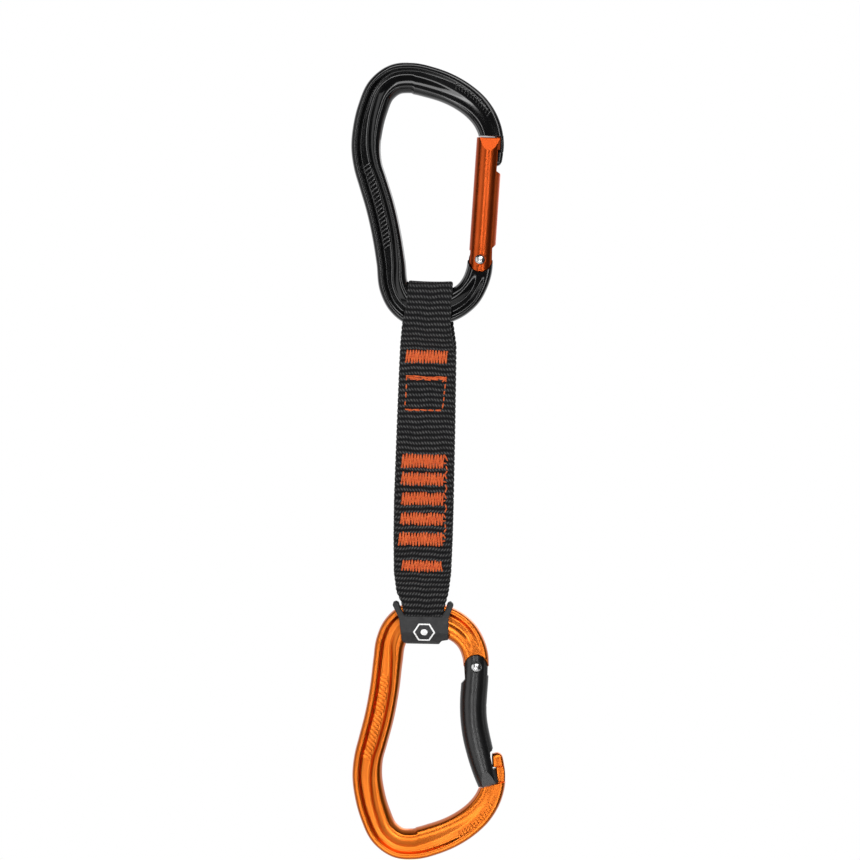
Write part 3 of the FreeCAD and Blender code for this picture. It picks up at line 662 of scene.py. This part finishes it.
def forged_frame(node_name, body, material, path, pin, lean, shoulder, placing):
    """One whole frame in its local frame, placed, and set in for its CAD node."""
    shell = Shell()
    main_bar(shell, path, pin, shoulder)
    tang(shell, pin, lean)
    nose(shell, path)
    tick_marks(shell, path)
    shell.points = [tuple(p) for p in placing(shell.points)]
    made = shell.object(node_name + "_forged", material, 30)
    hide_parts(node_name)
    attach(made, body)


forged_frame("bolt_frame", "bolt_carabiner", BLACK, BarPath(BOLT_DROP, BOLT_SHIFT),
             BOLT_PIN, BOLT_LEAN, BOLT_SHOULDER, place_bolt)
forged_frame("rope_frame", "rope_carabiner", AMBER, BarPath(ROPE_DROP, ROPE_SHIFT),
             ROPE_PIN, ROPE_GATE_LEAN, ROPE_SHOULDER, place_rope)


# ---------------------------------------------------------------- carried-over metal parts
def finish_node(name, material):
    """Give a carried-over CAD node its procedural finish."""
    mesh = nodes[name].data
    mesh.materials.clear()
    mesh.materials.append(material)


for name in ("bolt_gate_rivet", "rope_gate_rivet", "bolt_gate_spring", "rope_gate_spring",
             "bolt_gate_plunger", "rope_gate_plunger"):
    finish_node(name, STEEL)
finish_node("bolt_gate", GATE_ORANGE)
finish_node("rope_gate", GATE_BLACK)

# ---------------------------------------------------------------- webbing
SPLIT_Z = -150.3             # both halves of the tape meet here, in a rib groove under a bar tack
STRAP_TAPE, LOOP_TAPE = 2.25, 1.75   # thickness where the layers are sewn, and in the loops
LOOP_OPEN = (1.6, 4.2)       # half gap between the layers where the loop begins, and where it is open
LOOP_TOP = 12                # the tape is thin this near to the top of its loop
ROWS_PER_RIB = 8
RIB_HEIGHT = 0.46
EDGE_SCALLOP = 0.34          # how far each rib stands out at the tape's edges
CURL = 0.28                  # the edges stand up this much at the top of a loop
CURL_REACH = 4               # and only this near to it
FLAT_POINTS, EDGE_POINTS = 44, 7     # across one face, and round one edge


def tape_edges(z, front):
    """Left and right edge of the tape at height z, for the front or the back layer."""
    levels = [-206.0, -197.0, -193.0, -189.0, -185.0, -178.0, -165.0, -150.0, -125.0, -100.0, -93.0, -86.0,
              -78.0, -70.0, -69.0]
    left = [4.4, 4.2, 3.2, 2.1, 0.2, -0.9, -1.3, -1.4, -1.0, -0.5, -0.3, 0.2, 1.7, 2.3, 2.4]
    right = [16.6, 17.0, 17.4, 18.4, 19.4, 20.2, 20.5, 20.6, 20.6, 20.4, 19.3, 18.1, 18.2, 18.6, 18.5]
    if not front:
        right[9:12] = [20.5, 20.4, 19.3]
    return np.interp(z, levels, left), np.interp(z, levels, right)


def tape(name, loop_points, body_a, start, end):
    """Half of the sling: up the front, round the loop and down the back, as one woven tape."""
    half_line = [(-STRAP_TAPE / 2 - 0.08, SPLIT_Z)] + loop_points
    whole = half_line + [(-y, z) for y, z in reversed(half_line[:-1])]
    line, s = even_steps(catmull(whole, 24), RIB_PITCH / ROWS_PER_RIB)
    up = np.gradient(line, axis=0)
    up /= np.linalg.norm(up, axis=1)[:, None]
    outward = np.stack([up[:, 1], -up[:, 0]], -1)
    if line[len(line) // 2, 1] > SPLIT_Z:
        outward *= -1
    z = line[:, 1]
    in_loop = smooth(*LOOP_OPEN, np.abs(line[:, 0]))
    in_loop = np.maximum(in_loop, (np.abs(z - z[len(z) // 2]) < LOOP_TOP).astype(float))
    thickness = STRAP_TAPE + (LOOP_TAPE - STRAP_TAPE) * in_loop
    front = line[:, 0] < 0
    left_f, right_f = tape_edges(z, True)
    left_b, right_b = tape_edges(z, False)
    left, right = np.where(front, left_f, left_b), np.where(front, right_f, right_b)
    middle, half_width = (left + right) / 2, (right - left) / 2

    flat = np.linspace(-1, 1, FLAT_POINTS)
    turn = np.linspace(math.pi / 2, -math.pi / 2, EDGE_POINTS + 2)[1:-1]
    outer_face = np.concatenate([np.ones(FLAT_POINTS), 0.5 + 0.5 * np.sin(turn), np.zeros(FLAT_POINTS),
                                 0.5 - 0.5 * np.sin(turn)])
    rings, weave = [], []
    for i in range(len(line)):
        b, a = thickness[i] / 2, half_width[i]
        u = np.concatenate([flat * (a - b), (a - b) + b * np.cos(turn),
                            -flat * (a - b), -(a - b) - b * np.cos(turn)])
        v = np.concatenate([np.full(FLAT_POINTS, b), b * np.sin(turn),
                            np.full(FLAT_POINTS, -b), -b * np.sin(turn)])
        waver = 0.22 * np.sin(0.29 * u + 0.11 * s[i]) + 0.10 * np.sin(0.9 * u - 0.07 * s[i])
        ribs = (s[i] + waver) / RIB_PITCH
        crown = np.abs(np.sin(math.pi * ribs)) ** 0.65
        swell = RIB_HEIGHT * (crown - 0.5) * (0.35 + 0.65 * outer_face)
        v = v + np.sign(v) * swell * np.minimum(1, np.abs(v) / (0.3 * b))
        u = u + np.sign(u) * EDGE_SCALLOP * (crown - 0.5) * (np.abs(u) > a - b)
        bow = CURL * (u / a) ** 2 * (np.abs(z[i] - z[len(z) // 2]) < CURL_REACH)
        y = line[i, 0] + outward[i, 0] * v
        height = line[i, 1] + outward[i, 1] * (v + bow)
        rings.append(np.stack([middle[i] + u, y, height], -1))
        weave.append(np.stack([middle[i] + u, ribs, np.zeros(len(u))], -1))
    shell = Shell()
    shell.tube(rings)
    made = shell.object(name, WEBBING, 60)
    store_vectors(made, "weave", weave)
    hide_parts("sling_webbing")
    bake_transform(made)


# each loop as y, z points: up its front from the sewn strap to the middle of its top
BOLT_LOOP = [(-1.20, -104.0), (-1.22, -98.0), (-1.30, -95.0), (-2.6, -91.6), (-4.6, -87.6), (-5.6, -83.2),
             (-5.66, -78.5), (-5.2, -74.6), (-3.6, -71.9), (-1.7, -70.95), (0.0, -70.75)]
ROPE_LOOP = [(-1.20, -171.0), (-1.22, -175.4), (-1.30, -178.2), (-2.6, -181.6), (-4.6, -185.6),
             (-5.6, -189.7), (-5.66, -194.4), (-5.2, -198.0), (-3.6, -200.5), (-1.7, -201.4), (0.0, -201.6)]
BOLT_BEND = (-66.0, -95.2)   # heights at a loop's carabiner, first, and at the strap
ROPE_BEND = (-206.0, -178.4)
tape("webbing_upper", BOLT_LOOP, "bolt_carabiner", *BOLT_BEND)
tape("webbing_lower", ROPE_LOOP, "rope_carabiner", *ROPE_BEND)


# ---------------------------------------------------------------- sewing
THREAD_RADIUS = 0.26
STRAP_FACE = 2.46            # from the middle of the sling to the face of the strap
STROKE_PITCH = 0.535         # across a bar tack, from one stroke of its zigzag to the next


def thread_run(shell, plies, points, radius=THREAD_RADIUS):
    """One length of thread through points, as a closed tube. plies collects its twist coordinates."""
    line, s = even_steps(catmull(points, 6), 0.30)
    along = np.gradient(line, axis=0)
    along /= np.linalg.norm(along, axis=1)[:, None]
    side = np.cross(along, [0, 1, 0])
    side /= np.maximum(np.linalg.norm(side, axis=1), 1e-6)[:, None]
    other = np.cross(along, side)
    around = 8
    rings = []
    turns = 2 * math.pi * np.arange(around) / around
    for i in range(len(line)):
        ring = np.cos(turns)[:, None] * side[i] + np.sin(turns)[:, None] * other[i]
        rings.append(line[i] + radius * ring)
        plies += [(t / (2 * math.pi), s[i], 0.0) for t in turns]
    shell.tube(rings)


def sewn(node_name, shell, plies):
    """Set the finished threads in for their CAD node."""
    made = shell.object(node_name + "_thread", THREAD, 60)
    store_vectors(made, "ply", plies)
    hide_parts(node_name)
    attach(made, "sling")


def bar_tack(number, z, left, right, reach):
    """Dense zigzag over an underlay, on the front and on the back: full in the middle, toothed outside."""
    rng = random.Random(number)
    shell, plies = Shell(), []
    strokes = int(round((right - left) / STROKE_PITCH))
    pitch = (right - left) / strokes
    for side in (-1, 1):
        face = side * STRAP_FACE
        for level in (-0.6, 0.5):
            points = [(left + 0.5 + (right - left - 1.0) * i / 11, face + side * 0.12,
                       z + level + rng.uniform(-0.3, 0.3)) for i in range(12)]
            thread_run(shell, plies, points)
        points = []
        for i in range(strokes + 1):
            up = 1 if i % 2 else -1
            x = left + pitch * i + rng.uniform(-0.10, 0.10)
            end = z + up * (reach + rng.uniform(-0.32, 0.22))
            points.append((x - 0.06, face + side * 0.26, end - up * 0.60))
            points.append((x + 0.04, face - side * 0.16, end))
            points.append((x + 0.18, face + side * 0.24, end - up * 0.50))
            points.append((x + pitch / 2, face + side * (0.42 + rng.uniform(-0.08, 0.10)),
                           z + rng.uniform(-0.25, 0.25)))
        thread_run(shell, plies, points[:-1])
        for _ in range(3):                       # stray threads over the tack
            x = left + (right - left) * rng.uniform(0.1, 0.95)
            lean = rng.uniform(-0.9, 0.9)
            thread_run(shell, plies, [(x - lean, face + side * 0.2, z - 1.5), (x, face + side * 0.62, z),
                                      (x + lean, face + side * 0.2, z + 1.4)], 0.22)
    sewn("bar_tack_%d" % number, shell, plies)


TACKS = [                    # centre z, left x, right x, half height
    (-97.7, 1.8, 17.1, 2.35), (-136.4, 1.1, 16.7, 2.55), (-143.1, 1.1, 16.7, 2.35), (-150.5, 1.3, 16.7, 2.35),
    (-157.9, 1.1, 16.7, 2.20), (-165.4, 0.6, 16.7, 2.40), (-175.4, 2.0, 16.8, 2.05),
]
for number, spec in enumerate(TACKS, 1):
    bar_tack(number, *spec)


def stitch_line(shell, plies, begin, finish, stitch, gap, face, side, rng, wander=0.12):
    """A row of separate stitches from begin to finish, each dipping into the tape at its ends."""
    run = math.hypot(finish[0] - begin[0], finish[1] - begin[1])
    count = max(1, int(round(run / (stitch + gap))))
    for i in range(count):
        a, b = i / count, (i + stitch / (stitch + gap)) / count
        ends = [(begin[0] + (finish[0] - begin[0]) * t + rng.uniform(-wander, wander),
                 begin[1] + (finish[1] - begin[1]) * t + rng.uniform(-wander, wander)) for t in (a, b)]
        middle = ((ends[0][0] + ends[1][0]) / 2, (ends[0][1] + ends[1][1]) / 2)
        thread_run(shell, plies, [(ends[0][0], face - side * 0.25, ends[0][1]),
                                  (middle[0], face + side * 0.24, middle[1]),
                                  (ends[1][0], face - side * 0.25, ends[1][1])])


LABEL_THICKNESS = 0.42


def box_stitch():
    """Machine rectangle: a thick overrun line on top, dashed sides that lean, one line below."""
    top_left, top_right = (2.3, -105.0), (16.9, -105.2)
    low_left, low_right = (1.9, -117.4), (15.8, -117.5)
    rng = random.Random(21)
    shell, plies = Shell(), []
    for side, face in ((-1, -STRAP_FACE), (1, STRAP_FACE + LABEL_THICKNESS)):
        for drop, stitch in ((0.0, 2.4), (0.4, 2.9), (0.8, 2.0), (1.15, 2.3)):
            stitch_line(shell, plies, (top_left[0] + drop, top_left[1] - drop),
                        (top_right[0], top_right[1] - drop * 0.8), stitch, 0.2, face, side, rng, 0.30)
        stitch_line(shell, plies, (15.6, -106.9), (17.0, -105.4), 1.5, 0.0, face, side, rng, 0.1)
        stitch_line(shell, plies, low_left, low_right, 2.2, 0.35, face, side, rng, 0.08)
        stitch_line(shell, plies, (low_left[0] + 1.1, low_left[1] - 0.35), low_right, 1.9, 0.6, face, side,
                    rng, 0.1)
        stitch_line(shell, plies, top_left, low_left, 1.5, 1.5, face, side, rng)
        stitch_line(shell, plies, top_right, low_right, 1.6, 1.0, face, side, rng)
    sewn("box_stitch", shell, plies)


def edge_stitch():
    """Loose thread up the right edge: a small loop at each tack and slanted stitches between them."""
    rng = random.Random(33)
    shell, plies = Shell(), []

    def stitch(begin, finish, length, side, wander=0.12):
        stitch_line(shell, plies, begin, finish, length, 0.0, side * STRAP_FACE, side, rng, wander)

    for side in (-1, 1):
        for z, left, right, reach in TACKS[1:6]:
            top = (right + 0.35, z + reach * 0.8)
            stitch((right - 0.5, z + 0.5), top, 1.6, side, 0.15)
            stitch(top, (right + 1.25, z + 0.4), 1.6, side, 0.12)
            stitch((right - 0.3, z - 0.7), (right + 1.0, z - rng.uniform(0.2, 1.0)), 1.4, side, 0.1)
            if z > TACKS[5][0]:
                stitch((right + 0.9, z - 1.9), (right + 1.3, z - 3.1), 1.2, side)
                stitch((right + 1.35, z - 3.5), (right + 0.7, z - 4.8), 1.3, side)
    sewn("edge_stitch", shell, plies)


box_stitch()
edge_stitch()


LABEL_BOX = (0.9, 17.7, -118.7, -104.7)     # left, right, low and high edges
LABEL_BACK = 2.42            # y of the side that lies on the tape
LABEL_CORNER = 0.6


def label():
    """Blank rounded patch on the back of the strap, under the box stitch."""
    x0, x1, z0, z1 = LABEL_BOX
    inset = LABEL_CORNER
    outline = []
    for cx, cz, base in ((x1 - inset, z1 - inset, 0), (x0 + inset, z1 - inset, 90),
                         (x0 + inset, z0 + inset, 180), (x1 - inset, z0 + inset, 270)):
        for t in range(5, 90, 10):
            turn = math.radians(base + t)
            outline.append((cx + inset * math.cos(turn), cz + inset * math.sin(turn)))
    outline = np.array(outline)
    centre = np.array([(x0 + x1) / 2, (z0 + z1) / 2])
    near, far = LABEL_BACK, LABEL_BACK + LABEL_THICKNESS
    rings = []
    for share, y in ((0.05, near), (0.6, near), (0.985, near), (1.0, (near + far) / 2), (0.985, far),
                     (0.6, far), (0.05, far)):
        ring = centre + (outline - centre) * share
        rings.append(np.stack([ring[:, 0], np.full(len(ring), y), ring[:, 1]], -1))
    shell = Shell()
    shell.tube(rings)
    made = shell.object("label_blank", LABEL, 50)
    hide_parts("info_label")
    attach(made, "sling")


label()


# ---------------------------------------------------------------- rubber keeper
KEEPER_VOXEL = 0.00028       # metres
PRINT_CENTRE = (10.7, -199.7)
PRINT_DEPTH = 0.06           # how far the ink stands proud
PRINT_SQUASH = 0.90          # height of the mark over its width
PRINT_RING = (4.1, 3.45)     # outer and inner radius of the hexagon
PRINT_DOT = ((1.3, 0.88), (0.9, 0.48), (0.5, 0.02))      # the dot is three nested rings


def blend_with_loop(made):
    """Bakes the piece's placement into its mesh."""
    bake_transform(made)


def keeper():
    """Moulded rubber: the CAD keeper remeshed so that every edge is softly rounded."""
    source = nodes["rope_keeper"]
    made = bpy.data.objects.new("keeper_moulded", source.data.copy())
    bpy.context.scene.collection.objects.link(made)
    remesh = made.modifiers.new("remesh", "REMESH")
    remesh.mode = "VOXEL"
    remesh.voxel_size = KEEPER_VOXEL
    soften = made.modifiers.new("soften", "SMOOTH")
    soften.factor = 0.5
    soften.iterations = 7
    bpy.context.view_layer.update()
    evaluated = made.evaluated_get(bpy.context.evaluated_depsgraph_get())
    mesh = bpy.data.meshes.new_from_object(evaluated)
    made.modifiers.clear()
    made.data = mesh
    mesh.materials.clear()
    mesh.materials.append(RUBBER)
    mesh.shade_smooth()
    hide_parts("rope_keeper")
    blend_with_loop(made)
    return mesh


def keeper_print(moulding):
    """Plain printed hexagon with a dot, laid on the keeper's front face."""
    x, z = PRINT_CENTRE
    surface = BVHTree.FromPolygons([v.co for v in moulding.vertices],
                                   [p.vertices[:] for p in moulding.polygons])
    shell = Shell()

    def ring(radius_out, radius_in, sides):
        loops = []
        for radius, depth in ((radius_out, 0.0), (radius_out, -PRINT_DEPTH), (radius_in, -PRINT_DEPTH),
                              (radius_in, 0.0)):
            points = []
            for k in range(sides * 6):
                edge, t = divmod(k, 6)
                t /= 6
                a, b = (2 * math.pi * (edge + i) / sides for i in (0, 1))
                points.append((x + radius * ((1 - t) * math.cos(a) + t * math.cos(b)), depth,
                               z + PRINT_SQUASH * radius * ((1 - t) * math.sin(a) + t * math.sin(b))))
            loops.append(points)
        shell.grid(np.array(loops), close_rows=True, close_columns=True)

    ring(*PRINT_RING, 6)
    for wide, narrow in PRINT_DOT:
        ring(wide, narrow, 12)
    laid = []
    for px, depth, pz in shell.points:
        hit = surface.ray_cast(Vector((px * MM, -0.02, pz * MM)), Vector((0, 1, 0)))[0]
        laid.append((px, hit.y / MM + depth, pz))
    shell.points = laid
    made = shell.object("keeper_print", PRINT, 50)
    blend_with_loop(made)


keeper_print(keeper())


# ---------------------------------------------------------------- camera, light and floor
VIEW_WIDTH = 0.3197          # metres across the frame at the draw
AIM = Vector((0.01132, 0.0, -0.12485))
ROLL = math.radians(1.2)


def camera():
    """Straight-on long lens, rolled a little, so that the draw hangs slightly off the vertical."""
    data = bpy.data.cameras.new("camera")
    data.lens, data.sensor_width = 180.0, 36.0
    data.clip_start, data.clip_end = 0.05, 20.0
    distance = VIEW_WIDTH / 2 / math.tan(math.atan(data.sensor_width / 2 / data.lens))
    made = bpy.data.objects.new("camera", data)
    bpy.context.scene.collection.objects.link(made)
    made.rotation_mode = "XYZ"
    made.rotation_euler = (math.pi / 2, -ROLL, 0.0)
    made.location = AIM - Vector((0, distance, 0))
    bpy.context.scene.camera = made


CENTRE = Vector((0.01, 0.0, -0.14))          # the lights face this point of the draw


def area_light(name, azimuth, elevation, distance, size, radiance, mirrored=True):
    """Soft panel that faces the draw. Azimuth 0 is the camera's side, and positive is to its right."""
    a, e = math.radians(azimuth), math.radians(elevation)
    data = bpy.data.lights.new(name, "AREA")
    data.shape, data.size, data.size_y = "RECTANGLE", size[0], size[1]
    data.energy = radiance * math.pi * size[0] * size[1]
    made = bpy.data.objects.new(name, data)
    bpy.context.scene.collection.objects.link(made)
    away = Vector((math.sin(a) * math.cos(e), -math.cos(a) * math.cos(e), math.sin(e)))
    made.location = CENTRE + away * distance
    made.rotation_mode = "QUATERNION"
    made.rotation_quaternion = (-away).to_track_quat("-Z", "Y")
    made.visible_camera = False
    made.visible_glossy = mirrored


def studio():
    """Panels and strips round the draw, and a sky that the camera sees as plain white."""
    area_light("strip_near_right", 13, 0, 1.75, (0.14, 1.9), 5.2)
    area_light("strip_near_left", -13, 0, 1.75, (0.15, 1.9), 6.0)
    area_light("panel_left", -54, 2, 1.3, (0.80, 1.5), 1.0)
    area_light("panel_top", 10, 33, 1.4, (1.1, 0.50), 4.4)
    area_light("panel_low", -8, -26, 1.0, (0.75, 0.30), 2.2)
    area_light("panel_right", 82, 8, 1.3, (0.20, 1.3), 0.8)
    area_light("panel_back", 160, 25, 1.4, (1.0, 1.0), 1.2)
    area_light("fill_front", -12, 22, 1.5, (1.2, 1.2), 1.4, mirrored=False)
    world = bpy.data.worlds.new("studio")
    bpy.context.scene.world = world
    world.use_nodes = True
    tree = world.node_tree
    surface = tree.nodes["Background"]
    where = tree.nodes.new("ShaderNodeTexCoord")
    split = tree.nodes.new("ShaderNodeSeparateXYZ")
    tree.links.new(where.outputs["Generated"], split.inputs[0])
    share = math_node(tree, "MULTIPLY_ADD", split.outputs[1], 0.5, 0.5)
    front_to_back = [(0.0, (0.02, 0.02, 0.02)), (1.0, (0.80, 0.80, 0.81)), (0.45, (0.02, 0.02, 0.02)),
                     (0.62, (0.35, 0.35, 0.35))]
    tree.links.new(colour_ramp(tree, share, front_to_back), surface.inputs["Color"])
    white = tree.nodes.new("ShaderNodeBackground")
    white.inputs["Color"].default_value = (1, 1, 1, 1)
    rays = tree.nodes.new("ShaderNodeLightPath")
    mix = tree.nodes.new("ShaderNodeMixShader")
    tree.links.new(rays.outputs["Is Camera Ray"], mix.inputs[0])
    tree.links.new(surface.outputs[0], mix.inputs[1])
    tree.links.new(white.outputs[0], mix.inputs[2])
    tree.links.new(mix.outputs[0], tree.nodes["World Output"].inputs["Surface"])


FLOOR_Z, FLOOR_UNDER, FLOOR_RADIUS = -760, -765, 900


def floor():
    """Pale round floor below the hanging draw."""
    shell = Shell()
    turns = np.radians(np.arange(0, 360, 5))
    rings = [np.stack([r * np.cos(turns), r * np.sin(turns), np.full(len(turns), z)], -1)
             for r, z in ((10, FLOOR_Z), (300, FLOOR_Z), (FLOOR_RADIUS, FLOOR_Z),
                          (FLOOR_RADIUS, FLOOR_UNDER), (10, FLOOR_UNDER))]
    shell.tube(rings)
    material, tree, shader = new_material("floor")
    greys = [(0.3, (0.78, 0.78, 0.78)), (0.7, (0.82, 0.82, 0.82))]
    tree.links.new(colour_ramp(tree, object_noise(tree, 30), greys), shader.inputs["Base Color"])
    shader.inputs["Roughness"].default_value = 0.8
    shell.object("floor", material)


camera()
studio()
floor()
bpy.context.scene.view_settings.view_transform = "Standard"
